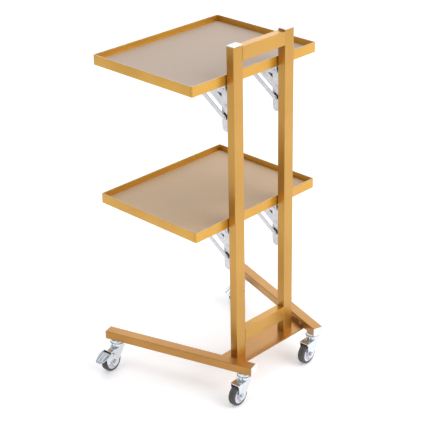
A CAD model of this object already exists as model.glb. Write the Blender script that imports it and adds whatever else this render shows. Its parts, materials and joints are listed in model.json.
# %% [markdown]
# # A rolling salon trolley
#
# This lesson builds the looks of a hairdresser's trolley round a finished engineering model. The
# trolley has two posts on a splayed base, and two trays that fold down on steel brackets. The
# engineering model gives every piece its place, size and motion, and it is loaded first. Each
# cell below then remakes one family of pieces with the edges, seams and finishes that they have.

# %% Load the engineering model
import json
import math

import bmesh
import bpy
from mathutils import Matrix, Quaternion, Vector


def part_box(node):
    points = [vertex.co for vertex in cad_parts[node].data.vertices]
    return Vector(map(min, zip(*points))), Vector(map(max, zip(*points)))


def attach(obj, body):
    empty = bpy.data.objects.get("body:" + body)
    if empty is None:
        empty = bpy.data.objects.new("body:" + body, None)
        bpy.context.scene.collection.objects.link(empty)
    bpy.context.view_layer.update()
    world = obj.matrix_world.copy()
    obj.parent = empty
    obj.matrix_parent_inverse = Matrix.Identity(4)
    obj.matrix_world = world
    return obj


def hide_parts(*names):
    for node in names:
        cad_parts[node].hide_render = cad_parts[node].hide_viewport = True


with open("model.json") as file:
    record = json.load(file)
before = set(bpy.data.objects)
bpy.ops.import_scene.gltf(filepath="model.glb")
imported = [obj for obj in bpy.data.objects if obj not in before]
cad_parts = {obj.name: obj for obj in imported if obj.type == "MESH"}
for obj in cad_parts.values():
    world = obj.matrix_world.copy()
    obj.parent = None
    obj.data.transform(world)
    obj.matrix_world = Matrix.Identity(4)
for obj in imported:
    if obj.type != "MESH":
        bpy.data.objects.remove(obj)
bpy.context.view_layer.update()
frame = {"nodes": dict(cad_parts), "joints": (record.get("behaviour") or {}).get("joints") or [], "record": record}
MM = 0.001
joint_at = {j["name"]: Vector(j["pos_m"]) for j in frame["joints"]}
joint_axis = {j["name"]: Vector(j["axis"]) for j in frame["joints"]}
body_of = {n: b for b, ns in frame["record"]["behaviour"]["bodies"].items() for n in ns}

# %% [markdown]
# ## Helpers for materials
#
# Every finish here is a small node tree on the Principled shader. The patterns read Object
# coordinates, because each piece keeps its place in its mesh, so a pattern is the same size on
# every piece and never slides. Two helpers keep the cells short: one adds a node and sets its
# sockets, and one makes the material with its shader's plain values.

# %% Material helpers
def add(tree, kind, sockets=None, **settings):
    """A new node, with its settings and the plain values of its sockets."""
    made = tree.nodes.new(kind)
    for key, value in settings.items():
        setattr(made, key, value)
    for key, value in (sockets or {}).items():
        made.inputs[key].default_value = value
    return made


def finish_material(name, **sockets):
    """A material whose shader takes these values; an underscore stands for a space in a name."""
    material = bpy.data.materials.new(name)
    material.use_nodes = True
    tree = material.node_tree
    shader = tree.nodes["Principled BSDF"]
    for key, value in sockets.items():
        shader.inputs[key.replace("_", " ")].default_value = value
    return material, tree, shader


def pattern_space(tree, scale, turn=0.0):
    """Object coordinates, turned about Z and then stretched, for a pattern that follows a piece."""
    place = add(tree, "ShaderNodeTexCoord")
    turned = add(tree, "ShaderNodeMapping", {"Rotation": (0, 0, turn)})
    stretched = add(tree, "ShaderNodeMapping", {"Scale": scale})
    tree.links.new(place.outputs["Object"], turned.inputs["Vector"])
    tree.links.new(turned.outputs["Vector"], stretched.inputs["Vector"])
    return stretched.outputs["Vector"]


def between(tree, factor, low, high, start=0.3, end=0.7):
    """A ramp from one colour or grey to another, driven by a pattern."""
    ramp = add(tree, "ShaderNodeValToRGB")
    for stop, value, position in zip(ramp.color_ramp.elements, (low, high), (start, end)):
        stop.position = position
        stop.color = (*value, 1) if isinstance(value, tuple) else (value, value, value, 1)
    tree.links.new(factor, ramp.inputs["Fac"])
    return ramp.outputs["Color"]


def bump(tree, shader, height, strength, depth):
    made = add(tree, "ShaderNodeBump", {"Strength": strength, "Distance": depth})
    tree.links.new(height, made.inputs["Height"])
    tree.links.new(made.outputs["Normal"], shader.inputs["Normal"])


# %% [markdown]
# ## Satin gold
#
# The tubes and tray rims are steel with a satin gold coating. Up close such a coat has a very
# fine lengthwise grain from the brushing below it, and broad soft clouds where it is a little
# redder or paler. One noise texture squeezed along the grain makes the brushing, and a second
# large one makes the clouds. The grain's direction is an argument, because it runs up a post,
# across a crossbar, along a leg and round a tray. Posts, trays and base are coated in separate
# batches and never match exactly, so each has its own pair of tones. The tray's top edge is
# rubbed paler by the hands that reach over it.

# %% Gold, with its grain along a chosen direction
GOLD_TONES = ((0.56, 0.285, 0.040), (0.64, 0.34, 0.058))
BROWN_GOLD_TONES = ((0.45, 0.208, 0.034), (0.53, 0.255, 0.048))
TRAY_GOLD_TONES = ((0.64, 0.330, 0.028), (0.73, 0.388, 0.040))
POST_GOLD_TONES = ((0.52, 0.268, 0.040), (0.59, 0.315, 0.056))
EDGE_TONES = ((0.50, 0.33, 0.17), (0.58, 0.39, 0.22))


def gold(name, grain, turn=0.0, metal=0.8, tones=GOLD_TONES):
    material, tree, shader = finish_material(
        name, Metallic=metal, IOR=1.5, Coat_Weight=0.5, Coat_Roughness=0.25
    )
    brushed = add(tree, "ShaderNodeTexNoise", {"Scale": 1.0, "Detail": 3.0, "Roughness": 0.6})
    tree.links.new(pattern_space(tree, grain, turn), brushed.inputs["Vector"])
    clouds = add(tree, "ShaderNodeTexNoise", {"Scale": 1.0, "Detail": 2.0})
    tree.links.new(pattern_space(tree, (9, 9, 6)), clouds.inputs["Vector"])
    tone = between(tree, clouds.outputs["Fac"], *tones)
    fine = between(tree, brushed.outputs["Fac"], 0.90, 1.0)
    mix = add(tree, "ShaderNodeMix", {"Factor": 1.0}, data_type="RGBA", blend_type="MULTIPLY")
    tree.links.new(tone, mix.inputs["A"])
    tree.links.new(fine, mix.inputs["B"])
    tree.links.new(mix.outputs["Result"], shader.inputs["Base Color"])
    tree.links.new(between(tree, brushed.outputs["Fac"], 0.30, 0.42), shader.inputs["Roughness"])
    bump(tree, shader, brushed.outputs["Fac"], 0.06, 0.0002)
    return material


SPLAY = math.atan2(
    joint_at["front_right_swivel"].x - joint_at["rear_right_swivel"].x,
    joint_at["front_right_swivel"].y - joint_at["rear_right_swivel"].y,
)
gold_upright = gold("gold_upright", (1400, 1400, 14), metal=0.86, tones=POST_GOLD_TONES)
gold_across = gold("gold_across", (14, 1400, 1400))
gold_round_tray = gold("gold_round_tray", (14, 14, 1400), metal=0.6, tones=TRAY_GOLD_TONES)
gold_base = gold("gold_base", (14, 1400, 1400), tones=BROWN_GOLD_TONES)
gold_left_leg = gold("gold_left_leg", (1400, 14, 1400), -SPLAY, tones=BROWN_GOLD_TONES)
gold_right_leg = gold("gold_right_leg", (1400, 14, 1400), SPLAY, tones=BROWN_GOLD_TONES)
gold_edge = gold("gold_edge", (14, 14, 1400), metal=0.6, tones=EDGE_TONES)
print("the legs splay by", round(math.degrees(SPLAY), 2), "degrees")

# %% [markdown]
# ## Taupe tray floor
#
# The tray floors are pressed steel with a smooth taupe coat. It is glossier than paint on a wall
# but far from a mirror, so a faint clear coat sits on a matt colour. A very fine orange-peel
# bump breaks up its reflections, and a faint mottle keeps it from looking like a flat fill.

# %% Floor coat, in two tones
def floor_coat(name, dark, light):
    material, tree, shader = finish_material(
        name, Metallic=0.0, Coat_Weight=0.08, Coat_Roughness=0.35, IOR=1.45
    )
    peel = add(tree, "ShaderNodeTexNoise", {"Scale": 1.0, "Detail": 2.0})
    tree.links.new(pattern_space(tree, (420, 420, 420)), peel.inputs["Vector"])
    mottle = add(tree, "ShaderNodeTexNoise", {"Scale": 1.0, "Detail": 4.0})
    tree.links.new(pattern_space(tree, (7, 7, 7)), mottle.inputs["Vector"])
    tree.links.new(
        between(tree, mottle.outputs["Fac"], dark, light), shader.inputs["Base Color"]
    )
    tree.links.new(between(tree, mottle.outputs["Fac"], 0.52, 0.62), shader.inputs["Roughness"])
    bump(tree, shader, peel.outputs["Fac"], 0.10, 0.0001)
    return material


taupe_upper = floor_coat("taupe_upper", (0.42, 0.325, 0.252), (0.45, 0.352, 0.277))
taupe_lower = floor_coat("taupe_lower", (0.54, 0.382, 0.235), (0.59, 0.424, 0.268))

# %% [markdown]
# ## Zinc plate, plastics and rubber
#
# The brackets and casters are zinc-plated steel, which shows faint crystals, so its colour and
# roughness come from a cell texture. The caps and hubs are moulded plastic, whose skin has a
# soft fine grain. Rubber is nearly black, rough and dusty, with the dust in broad patches.

# %% Zinc
def zinc(name, dark, light, rough):
    material, tree, shader = finish_material(name, Metallic=1.0)
    crystals = add(tree, "ShaderNodeTexVoronoi", {"Scale": 1.0})
    tree.links.new(pattern_space(tree, (260, 260, 260)), crystals.inputs["Vector"])
    smear = add(tree, "ShaderNodeTexNoise", {"Scale": 1.0, "Detail": 4.0})
    tree.links.new(pattern_space(tree, (60, 60, 60)), smear.inputs["Vector"])
    grey = add(tree, "ShaderNodeRGBToBW")
    tree.links.new(crystals.outputs["Color"], grey.inputs["Color"])
    tree.links.new(
        between(tree, grey.outputs["Val"], dark, light, 0.1, 0.9), shader.inputs["Base Color"]
    )
    tree.links.new(
        between(tree, smear.outputs["Fac"], rough - 0.07, rough + 0.09), shader.inputs["Roughness"]
    )
    bump(tree, shader, smear.outputs["Fac"], 0.08, 0.0002)
    return material


bracket_zinc = zinc("bracket_zinc", (0.60, 0.60, 0.615), (0.69, 0.695, 0.71), 0.32)
caster_zinc = zinc("caster_zinc", (0.70, 0.75, 0.79), (0.78, 0.82, 0.85), 0.20)


# %% Moulded plastic and rubber
def moulded(name, dark, light, rough, grain, bump_strength, clouds=30):
    material, tree, shader = finish_material(name, Metallic=0.0, IOR=1.47)
    skin = add(tree, "ShaderNodeTexNoise", {"Scale": 1.0, "Detail": 3.0})
    tree.links.new(pattern_space(tree, (grain, grain, grain)), skin.inputs["Vector"])
    cloud = add(tree, "ShaderNodeTexNoise", {"Scale": 1.0, "Detail": 3.0})
    tree.links.new(pattern_space(tree, (clouds, clouds, clouds)), cloud.inputs["Vector"])
    tree.links.new(between(tree, cloud.outputs["Fac"], dark, light), shader.inputs["Base Color"])
    tree.links.new(
        between(tree, cloud.outputs["Fac"], rough - 0.05, rough + 0.08), shader.inputs["Roughness"]
    )
    bump(tree, shader, skin.outputs["Fac"], bump_strength, 0.0002)
    return material


white_plastic = moulded("white_plastic", (0.80, 0.80, 0.79), (0.85, 0.85, 0.84), 0.42, 900, 0.08)
black_nylon = moulded("black_nylon", (0.012, 0.012, 0.014), (0.022, 0.022, 0.024), 0.42, 1200, 0.2)
lilac_plastic = moulded("lilac_plastic", (0.74, 0.70, 0.79), (0.82, 0.79, 0.86), 0.34, 900, 0.12)
rubber = moulded("rubber", (0.060, 0.058, 0.060), (0.105, 0.102, 0.103), 0.68, 1600, 0.45)

# %% [markdown]
# ## Helpers for pieces
#
# A piece is made in a bmesh, then handed to one function that merges its doubled points, turns
# its faces out, gives it a material and lets it ride on its body. Smooth shading on its own
# would bend the light across big flat faces, so a Weighted Normal modifier keeps the flats flat
# and lets only the narrow bevels turn.

# %% Turn a bmesh into a finished piece
MERGE_WITHIN = 1e-6
SHARP_TURN = 0.6  # radians, about 34 degrees


def make_piece(bm, name, node, material, recalc=True):
    """The finished piece that shows one node of the engineering model."""
    bmesh.ops.remove_doubles(bm, verts=bm.verts, dist=MERGE_WITHIN)
    if recalc:
        bmesh.ops.recalc_face_normals(bm, faces=bm.faces)
    mesh = bpy.data.meshes.new(name)
    bm.to_mesh(mesh)
    bm.free()
    mesh.shade_smooth()
    mesh.set_sharp_from_angle(angle=math.radians(50))
    mesh.materials.append(material)
    piece = bpy.data.objects.new(name, mesh)
    bpy.context.scene.collection.objects.link(piece)
    even = piece.modifiers.new("Even normals", "WEIGHTED_NORMAL")
    even.keep_sharp = True
    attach(piece, body_of[node])
    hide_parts(node)
    return piece


def soften(bm, width, segments=3, edges=None, inner=True):
    """Rounds the given edges, or all the sharp ones; inner says whether inner corners count.

    The bevel is held back where short edges meet, so that it never folds over itself.
    """
    if edges is None:
        turned = [e for e in bm.edges if e.is_manifold and e.calc_face_angle(0) > SHARP_TURN]
        edges = [e for e in turned if inner or e.is_convex]
    bmesh.ops.bevel(
        bm, geom=edges, offset=width, offset_type="OFFSET", segments=segments, profile=0.5,
        affect="EDGES", clamp_overlap=True, material=-1,
    )


# %% [markdown]
# ## Posts and crossbars
#
# The frame is made of drawn rectangular tube, which always has rounded corners along its length
# and crisp sawn ends. A cube stretched to the engineering model's box, with only its lengthwise
# edges bevelled, is exactly that shape. The ends are hidden by the caps and joints.

# %% Tubes
POST_CORNER = 1.4 * MM
CROSSBAR_CORNER = 0.9 * MM


def tube_piece(node, along, radius, material):
    """A tube that fills its node's box; along is the axis it runs on, 0 for X and 2 for Z."""
    low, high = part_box(node)
    size = high - low
    bm = bmesh.new()
    bmesh.ops.create_cube(
        bm, size=1, matrix=Matrix.Translation((low + high) / 2) @ Matrix.Diagonal((*size, 1))
    )
    lengthwise = [
        e for e in bm.edges if abs((e.verts[0].co - e.verts[1].co).normalized()[along]) > 0.99
    ]
    soften(bm, radius, 5, lengthwise)
    return make_piece(bm, node + "_tube", node, material)


for node in ("left_post", "right_post"):
    tube_piece(node, 2, POST_CORNER, gold_upright)
for node in ("top_crossbar", "lower_crossbar"):
    tube_piece(node, 0, CROSSBAR_CORNER, gold_across)
print("posts and crossbars made")

# %% [markdown]
# ## Legs
#
# A leg is the same kind of tube lying down and splayed outwards. The two casters of a leg sit
# on its centre line, so the line through their swivel axes gives the leg's direction. The tube
# is made along Y and then turned and moved, and its turn goes into the mesh, because a finished
# piece's object stays at the origin.

# %% Legs
LEG_WIDTH = 25 * MM
LEG_CORNER = 2 * MM
SWIVEL_FROM_END = 22 * MM
for side, material in (("left", gold_left_leg), ("right", gold_right_leg)):
    front, rear = joint_at[f"front_{side}_swivel"], joint_at[f"rear_{side}_swivel"]
    low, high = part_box(f"{side}_leg")
    run = Vector((front.x - rear.x, front.y - rear.y, 0))
    length = run.length + 2 * SWIVEL_FROM_END
    middle = Vector(((front.x + rear.x) / 2, (front.y + rear.y) / 2, (low.z + high.z) / 2))
    turn = Matrix.Rotation(math.atan2(-run.x, run.y), 4, "Z")
    bm = bmesh.new()
    bmesh.ops.create_cube(
        bm, size=1, matrix=Matrix.Diagonal((LEG_WIDTH, length, high.z - low.z, 1))
    )
    lengthwise = [e for e in bm.edges if abs(e.verts[0].co.y - e.verts[1].co.y) > length / 2]
    soften(bm, LEG_CORNER, 5, lengthwise)
    bmesh.ops.transform(bm, matrix=Matrix.Translation(middle) @ turn, verts=bm.verts)
    leg = make_piece(bm, f"{side}_leg_tube", f"{side}_leg", material)
    print(leg.name, "is", round(length, 4), "m long")

# %% [markdown]
# ## Tray rims
#
# A rim is a strip of sheet steel, bent up from the tray with its top edge folded over inside as
# a hem, so that no sharp edge meets a hand. At each corner the bent walls meet in a fine seam.
# The wall starts as one flat outline whose corner points are bevelled round. It is inset to a
# narrow ring and extruded upwards, then a sliver of the side wall beside each corner is pushed
# in as the seam. The hem is a second ring inside the first, and the rubbed top edge is a thin
# third one that spans both, as a piece of its own because its finish differs.

# %% A flat outline with round corners
def rounded_outline(bm, low, high, radius, z, segments=6):
    """One flat face from low to high, whose four corner points are rounded by radius."""
    size = (high.x - low.x, high.y - low.y)
    start = set(bm.faces)
    grid = bmesh.ops.create_grid(
        bm, x_segments=1, y_segments=1, size=0.5,
        matrix=Matrix.Translation(((low.x + high.x) / 2, (low.y + high.y) / 2, z))
        @ Matrix.Diagonal((*size, 1, 1)),
    )
    bmesh.ops.bevel(
        bm, geom=grid["verts"], offset=radius, offset_type="OFFSET", segments=segments,
        profile=0.5, affect="VERTICES", clamp_overlap=True, material=-1,
    )
    return [f for f in bm.faces if f not in start][0]


def ring_wall(bm, low, high, radius, thickness, z_low, z_high):
    """An upright wall round a rounded outline, thickness inwards, as a closed solid."""
    face = rounded_outline(bm, low, high, radius, z_low)
    ring = bmesh.ops.inset_region(
        bm, faces=[face], thickness=thickness, use_boundary=True, use_even_offset=True
    )
    bmesh.ops.delete(bm, geom=[face], context="FACES")
    raised = bmesh.ops.extrude_face_region(bm, geom=ring["faces"])
    verts = [v for v in raised["geom"] if isinstance(v, bmesh.types.BMVert)]
    bmesh.ops.translate(bm, vec=(0, 0, z_high - z_low), verts=verts)
    bmesh.ops.recalc_face_normals(bm, faces=bm.faces)


# %% Rims with hems and corner seams
SHEET = 1.2 * MM
RIM_CORNER = 3 * MM
HEM_THICK = 1.3 * MM
HEM_DEPTH = 5.5 * MM
HEM_OVERLAP = 0.05 * MM
EDGE = 0.5 * MM
SEAM_FROM_CORNER = 4.5 * MM
SEAM_HALF = 0.25 * MM
SEAM_DEPTH = 0.5 * MM
SEAM_SIDE = 0.03 * MM
for tray in ("upper", "lower"):
    node = f"{tray}_tray_rim"
    low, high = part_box(node)
    bm = bmesh.new()
    ring_wall(bm, low, high, RIM_CORNER, SHEET, low.z, high.z - EDGE)
    soften(bm, 0.4 * MM, 2)
    for y in (low.y + SEAM_FROM_CORNER, high.y - SEAM_FROM_CORNER):
        for edge in (y - SEAM_HALF, y + SEAM_HALF):
            bmesh.ops.bisect_plane(
                bm, geom=bm.verts[:] + bm.edges[:] + bm.faces[:], plane_co=(0, edge, 0),
                plane_no=(0, 1, 0),
            )
        seam = [
            f for f in bm.faces
            if abs(f.calc_center_median().y - y) < SEAM_HALF * 0.8 and abs(f.normal.x) > 0.9
            and min(abs(f.calc_center_median().x - x) for x in (low.x, high.x)) < 0.1 * MM
        ]
        bmesh.ops.inset_region(bm, faces=seam, thickness=SEAM_SIDE, depth=-SEAM_DEPTH)
    inset = Vector((SHEET - HEM_OVERLAP, SHEET - HEM_OVERLAP, 0))
    hem = bmesh.new()
    ring_wall(
        hem, low + inset, high - inset, RIM_CORNER - SHEET + HEM_OVERLAP, HEM_THICK,
        high.z - HEM_DEPTH, high.z - EDGE,
    )
    soften(hem, 0.25 * MM, 2)
    spare = bpy.data.meshes.new("hem")
    hem.to_mesh(spare)
    hem.free()
    bm.from_mesh(spare)
    bpy.data.meshes.remove(spare)
    rim = make_piece(bm, f"{tray}_rim_wall", node, gold_round_tray)
    bm = bmesh.new()
    ring_wall(bm, low, high, RIM_CORNER, SHEET + HEM_THICK, high.z - EDGE, high.z)
    soften(bm, 0.2 * MM, 2)
    make_piece(bm, f"{tray}_rim_edge", node, gold_edge)
    print(rim.name, "has", len(rim.data.polygons), "faces")

# %% [markdown]
# ## Tray floors
#
# Each floor is pressed: a flat border stands a little proud all round and drops by a soft step
# to the flat middle, whose corners are rounder than the tray's own. Six outlines with the same
# number of points are bridged into the border and the step, the innermost keeps its face, and
# the sheet then gets its thickness. The border is gold like the rim, so a thin ring of its own
# lies on the sheet there.

# %% Floors
FLOOR_SHEET = 1.2 * MM
FLOOR_CORNER = 1.2 * MM
BORDER = 4.0 * MM
BORDER_THICK = 0.4 * MM
STEP = 1.6 * MM
STEP_DROP = 0.7 * MM
UNDER_BORDER = 0.45 * MM  # a hair below the ring, so that the two never share a face
for tray, material in (("upper", taupe_upper), ("lower", taupe_lower)):
    node = f"{tray}_tray_floor"
    low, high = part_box(node)
    top = high.z
    border = bmesh.new()
    ring_wall(border, low, high, FLOOR_CORNER, BORDER, top - BORDER_THICK, top)
    soften(border, 0.15 * MM, 2)
    make_piece(border, f"{tray}_floor_border", node, gold_round_tray)
    bm = bmesh.new()
    loops = []
    outlines = (  # inset from the box, corner radius, drop from the top
        (0.1 * MM, FLOOR_CORNER, UNDER_BORDER),
        (BORDER - 0.6 * MM, 8.6 * MM, UNDER_BORDER),
        (BORDER, 9.0 * MM, UNDER_BORDER + 0.03 * MM),
        (BORDER + STEP * 0.5, 8.8 * MM, STEP_DROP / 2 + 0.2 * MM),
        (BORDER + STEP, 8.4 * MM, STEP_DROP - 0.02 * MM),
        (BORDER + STEP + 0.7 * MM, 8.0 * MM, STEP_DROP),
    )
    for inset, radius, drop in outlines:
        shrink = Vector((inset, inset, 0))
        middle = rounded_outline(bm, low + shrink, high - shrink, radius, top - drop, 8)
        loops.append(middle.edges[:])
        if len(loops) < len(outlines):
            bmesh.ops.delete(bm, geom=[middle], context="FACES_ONLY")
    for outer, inner in zip(loops, loops[1:]):
        bmesh.ops.bridge_loops(bm, edges=outer + inner)
    bmesh.ops.recalc_face_normals(bm, faces=bm.faces)
    if middle.normal.z > 0:
        bmesh.ops.reverse_faces(bm, faces=bm.faces)
    bmesh.ops.solidify(bm, geom=bm.faces[:], thickness=-FLOOR_SHEET)
    floor = make_piece(bm, f"{tray}_floor_sheet", node, material)
    print(floor.name, "has", len(floor.data.polygons), "faces")

# %% [markdown]
# ## Pressed, turned and moulded small parts
#
# The base plate, brackets, forks, pedals, rivets, screws and caps already have their true
# outline in the engineering model, but with knife-sharp edges that no real part has. Each is
# copied, its loose triangles are merged and the flat ones dissolved into whole faces, and every
# sharp edge is rounded by the amount that its trade leaves: a fraction of a millimetre on
# stamped steel, more on moulded plastic. That amount is the most a piece gets. The bevel is
# held back where short edges meet, so a piece with many small holes or fine curves comes out
# crisper than asked. Rounding the outer edges can only take a little away, so a copy whose
# volume grows has a spoilt bevel, and it is made again with its inner corners rounded too, or
# in the last resort with none. The cell prints how far each copy is off.

# %% Copies with real edges
MOST_TAKEN = 0.05
MOST_ADDED = 0.0002


def eased_copy(node, material, width, segments=2):
    """The engineering piece itself, with its edges rounded by up to width millimetres."""
    for easing in ("outer edges", "all edges", "no edges"):
        bm = bmesh.new()
        bm.from_mesh(frame["nodes"][node].data)
        bmesh.ops.remove_doubles(bm, verts=bm.verts, dist=MERGE_WITHIN)
        before = bm.calc_volume()
        bmesh.ops.dissolve_limit(
            bm, angle_limit=math.radians(1), verts=bm.verts, edges=bm.edges, delimit={"NORMAL"}
        )
        if easing != "no edges":
            soften(bm, width * MM, segments, inner=easing == "all edges")
        after = bm.calc_volume()
        if -MOST_TAKEN < after / before - 1 < MOST_ADDED or easing == "no edges":
            break
        bm.free()
    piece = make_piece(bm, node + "_eased", node, material, recalc=False)
    print(node, "has", easing, "eased, and its volume is off by", f"{after / before - 1:+.3%}")
    return piece


eased_copy("base_plate", gold_base, 0.6)
for node in ("post_caps", "leg_caps"):
    eased_copy(node, white_plastic, 0.6, 3)
for node in ("base_screws", "bracket_screws", "bracket_rivets"):
    eased_copy(node, bracket_zinc, 0.35)
for tray in ("upper", "lower"):
    eased_copy(f"{tray}_tray_studs", bracket_zinc, 0.3)
    for hand in ("left", "right"):
        for part in ("wall_leg", "arm", "strut", "brace"):
            eased_copy(f"{tray}_{hand}_{part}", bracket_zinc, 0.3)
        eased_copy(f"{tray}_{hand}_bushes", black_nylon, 0.4)

# %% Casters: the metal parts
eased_copy("caster_stems", caster_zinc, 0.35)
CASTERS = ("front_left", "front_right", "rear_left", "rear_right")
for caster in CASTERS:
    eased_copy(f"{caster}_fork", caster_zinc, 0.4)
    eased_copy(f"{caster}_axle", caster_zinc, 0.4)
for caster in CASTERS[:2]:
    eased_copy(f"{caster}_pedal", caster_zinc, 0.35)
    eased_copy(f"{caster}_pedal_pins", caster_zinc, 0.3)

# %% [markdown]
# ## Wheels
#
# A wheel is round, so its section is drawn once as a flat outline beside the axle and spun
# through a full turn. The tyre's section is nearly a square whose two outer corners are rounded
# well, with the fine line that the two halves of its mould leave round the tread. The hub's
# section has a rim, a web and a boss, and five ribs on each side stiffen the web, as on any
# moulded caster hub.

# %% Spin a section round the axle
def spun(bm, points, round_off, steps=72):
    """Spins an outline of (radius, across) points, in millimetres, about the Y axis."""
    verts = [bm.verts.new((r * MM, y * MM, 0)) for r, y, _ in points]
    bm.faces.new(verts)
    for radius in sorted({c for _, _, c in points if c}):
        corners = [v for v, p in zip(verts, points) if p[2] == radius]
        bmesh.ops.bevel(
            bm, geom=corners, offset=radius * MM, offset_type="OFFSET", segments=round_off,
            profile=0.5, affect="VERTICES", clamp_overlap=True, material=-1,
        )
    section = bm.faces[:]
    bmesh.ops.delete(bm, geom=section, context="FACES_ONLY")
    bmesh.ops.spin(
        bm, geom=bm.verts[:] + bm.edges[:], axis=(0, 1, 0), cent=(0, 0, 0),
        angle=2 * math.pi, steps=steps, use_merge=True,
    )
    bmesh.ops.recalc_face_normals(bm, faces=bm.faces)


def wheel_place(caster):
    """Where a wheel goes: its centre, turned so that Y lies along its axle."""
    axis = joint_axis[f"{caster}_roll"]
    turn = Matrix.Rotation(math.atan2(-axis.x, axis.y), 4, "Z")
    return Matrix.Translation(joint_at[f"{caster}_roll"]) @ turn


# Each point is its radius, its place across the wheel and how far its corner is rounded
TYRE = [
    (19, -8.5, 0.3), (25, -8.5, 4.2), (25, -0.25, 0), (24.8, 0, 0), (25, 0.25, 0),
    (25, 8.5, 4.2), (19, 8.5, 0.3),
]
HUB = [
    (3.05, -9.6, 0.3), (6, -9.6, 0.5), (6, -5, 0.8), (16.5, -5, 0.8), (16.5, -7.5, 0.4),
    (19, -7.5, 0.3), (19, 7.5, 0.3), (16.5, 7.5, 0.4), (16.5, 5, 0.8), (6, 5, 0.8),
    (6, 9.6, 0.5), (3.05, 9.6, 0.3),
]
RIBS = 5
RIB_FROM_AXLE = 11.3 * MM
RIB_FROM_MIDDLE = 5.6 * MM
RIB_SIZE = (11.4 * MM, 1.8 * MM, 1.6 * MM)
for caster in CASTERS:
    place = wheel_place(caster)
    bm = bmesh.new()
    spun(bm, TYRE, 6)
    bmesh.ops.transform(bm, matrix=place, verts=bm.verts)
    make_piece(bm, f"{caster}_tyre_ring", f"{caster}_tyre", rubber)
    bm = bmesh.new()
    spun(bm, HUB, 2)
    for spoke in range(RIBS):
        for across in (-RIB_FROM_MIDDLE, RIB_FROM_MIDDLE):
            rib = bmesh.ops.create_cube(
                bm, size=1,
                matrix=Matrix.Rotation(spoke * math.tau / RIBS, 4, "Y")
                @ Matrix.Translation((RIB_FROM_AXLE, across, 0))
                @ Matrix.Diagonal((*RIB_SIZE, 1)),
            )
            edges = list({e for v in rib["verts"] for e in v.link_edges})
            soften(bm, 0.3 * MM, 2, edges)
    bmesh.ops.transform(bm, matrix=place, verts=bm.verts)
    hub = make_piece(bm, f"{caster}_hub_moulding", f"{caster}_hub", lilac_plastic)
    print(hub.name, "has", len(hub.data.polygons), "faces")

# %% [markdown]
# ## Floor, light and camera
#
# The trolley stands on a plain pale floor. A broad soft light comes from behind its posts, so
# those faces are bright and the sides are a tone darker, and gentle lights above, beside and in
# front fill the rest. The world is pale all round, because metal shows what surrounds it. It
# shines brighter to the camera than to the trolley, so the backdrop is white and the metal
# keeps its contrast.

# %% Stage
def stage_material(name, colour, rough):
    material, tree, shader = finish_material(
        name, Roughness=rough, Emission_Color=(0.97, 0.98, 1, 1), Emission_Strength=0.28
    )
    grain = add(tree, "ShaderNodeTexNoise", {"Scale": 1.0, "Detail": 2.0})
    tree.links.new(pattern_space(tree, (3, 3, 3)), grain.inputs["Vector"])
    tree.links.new(
        between(tree, grain.outputs["Fac"], tuple(c * 0.99 for c in colour), colour),
        shader.inputs["Base Color"],
    )
    return material


bm = bmesh.new()
bmesh.ops.create_circle(bm, cap_ends=True, segments=96, radius=9)
mesh = bpy.data.meshes.new("studio_floor")
bm.to_mesh(mesh)
bm.free()
mesh.materials.append(stage_material("studio_white", (0.90, 0.90, 0.905), 0.75))
studio_floor = bpy.data.objects.new("studio_floor", mesh)
bpy.context.scene.collection.objects.link(studio_floor)


# %% World and lights
TO_THE_TROLLEY, TO_THE_CAMERA = 0.5, 1.05
world = bpy.data.worlds.new("studio")
world.use_nodes = True
bpy.context.scene.world = world
tree = world.node_tree
background = tree.nodes["Background"]
background.inputs["Color"].default_value = (0.95, 0.965, 1.0, 1)
rays = add(tree, "ShaderNodeLightPath")
strength = add(
    tree, "ShaderNodeMapRange", {"To Min": TO_THE_TROLLEY, "To Max": TO_THE_CAMERA}
)
tree.links.new(rays.outputs["Is Camera Ray"], strength.inputs["Value"])
tree.links.new(strength.outputs["Result"], background.inputs["Strength"])
bpy.context.scene.view_settings.view_transform = "Standard"


def soft_light(name, at, to, size, power):
    data = bpy.data.lights.new(name, "AREA")
    data.shape, data.size, data.energy = "SQUARE", size, power
    light = bpy.data.objects.new(name, data)
    light.location = at
    light.rotation_euler = (Vector(to) - Vector(at)).to_track_quat("-Z", "Y").to_euler()
    bpy.context.scene.collection.objects.link(light)


soft_light("key", (1.2, -3.0, 2.4), (0, 0, 0.45), 3.0, 85)
soft_light("side", (-3.2, 0.6, 1.9), (0, 0, 0.4), 1.6, 9)
soft_light("top", (0.3, 0.2, 3.6), (0, 0, 0.4), 4.0, 50)
soft_light("front", (2.3, 2.4, 1.9), (0, 0, 0.4), 2.4, 20)

# %% [markdown]
# ## The camera
#
# The camera looks over the trolley from behind its left post, from a little above the upper
# tray. A long lens from three metres away keeps the upright lines nearly parallel.

# %% Camera
camera_data = bpy.data.cameras.new("camera")
camera_data.lens = 108.5
camera_data.shift_x, camera_data.shift_y = -0.0814, -0.0395
SLIGHT_ROLL = -0.00725  # radians, about the line of sight
camera = bpy.data.objects.new("camera", camera_data)
camera.location = (-1.8404, -1.8252, 1.6355)
facing = Vector((0.65974, 0.61737, -0.42849)).to_track_quat("-Z", "Y")
camera.rotation_mode = "QUATERNION"
camera.rotation_quaternion = facing @ Quaternion((0, 0, 1), SLIGHT_ROLL)
bpy.context.scene.collection.objects.link(camera)
bpy.context.scene.camera = camera
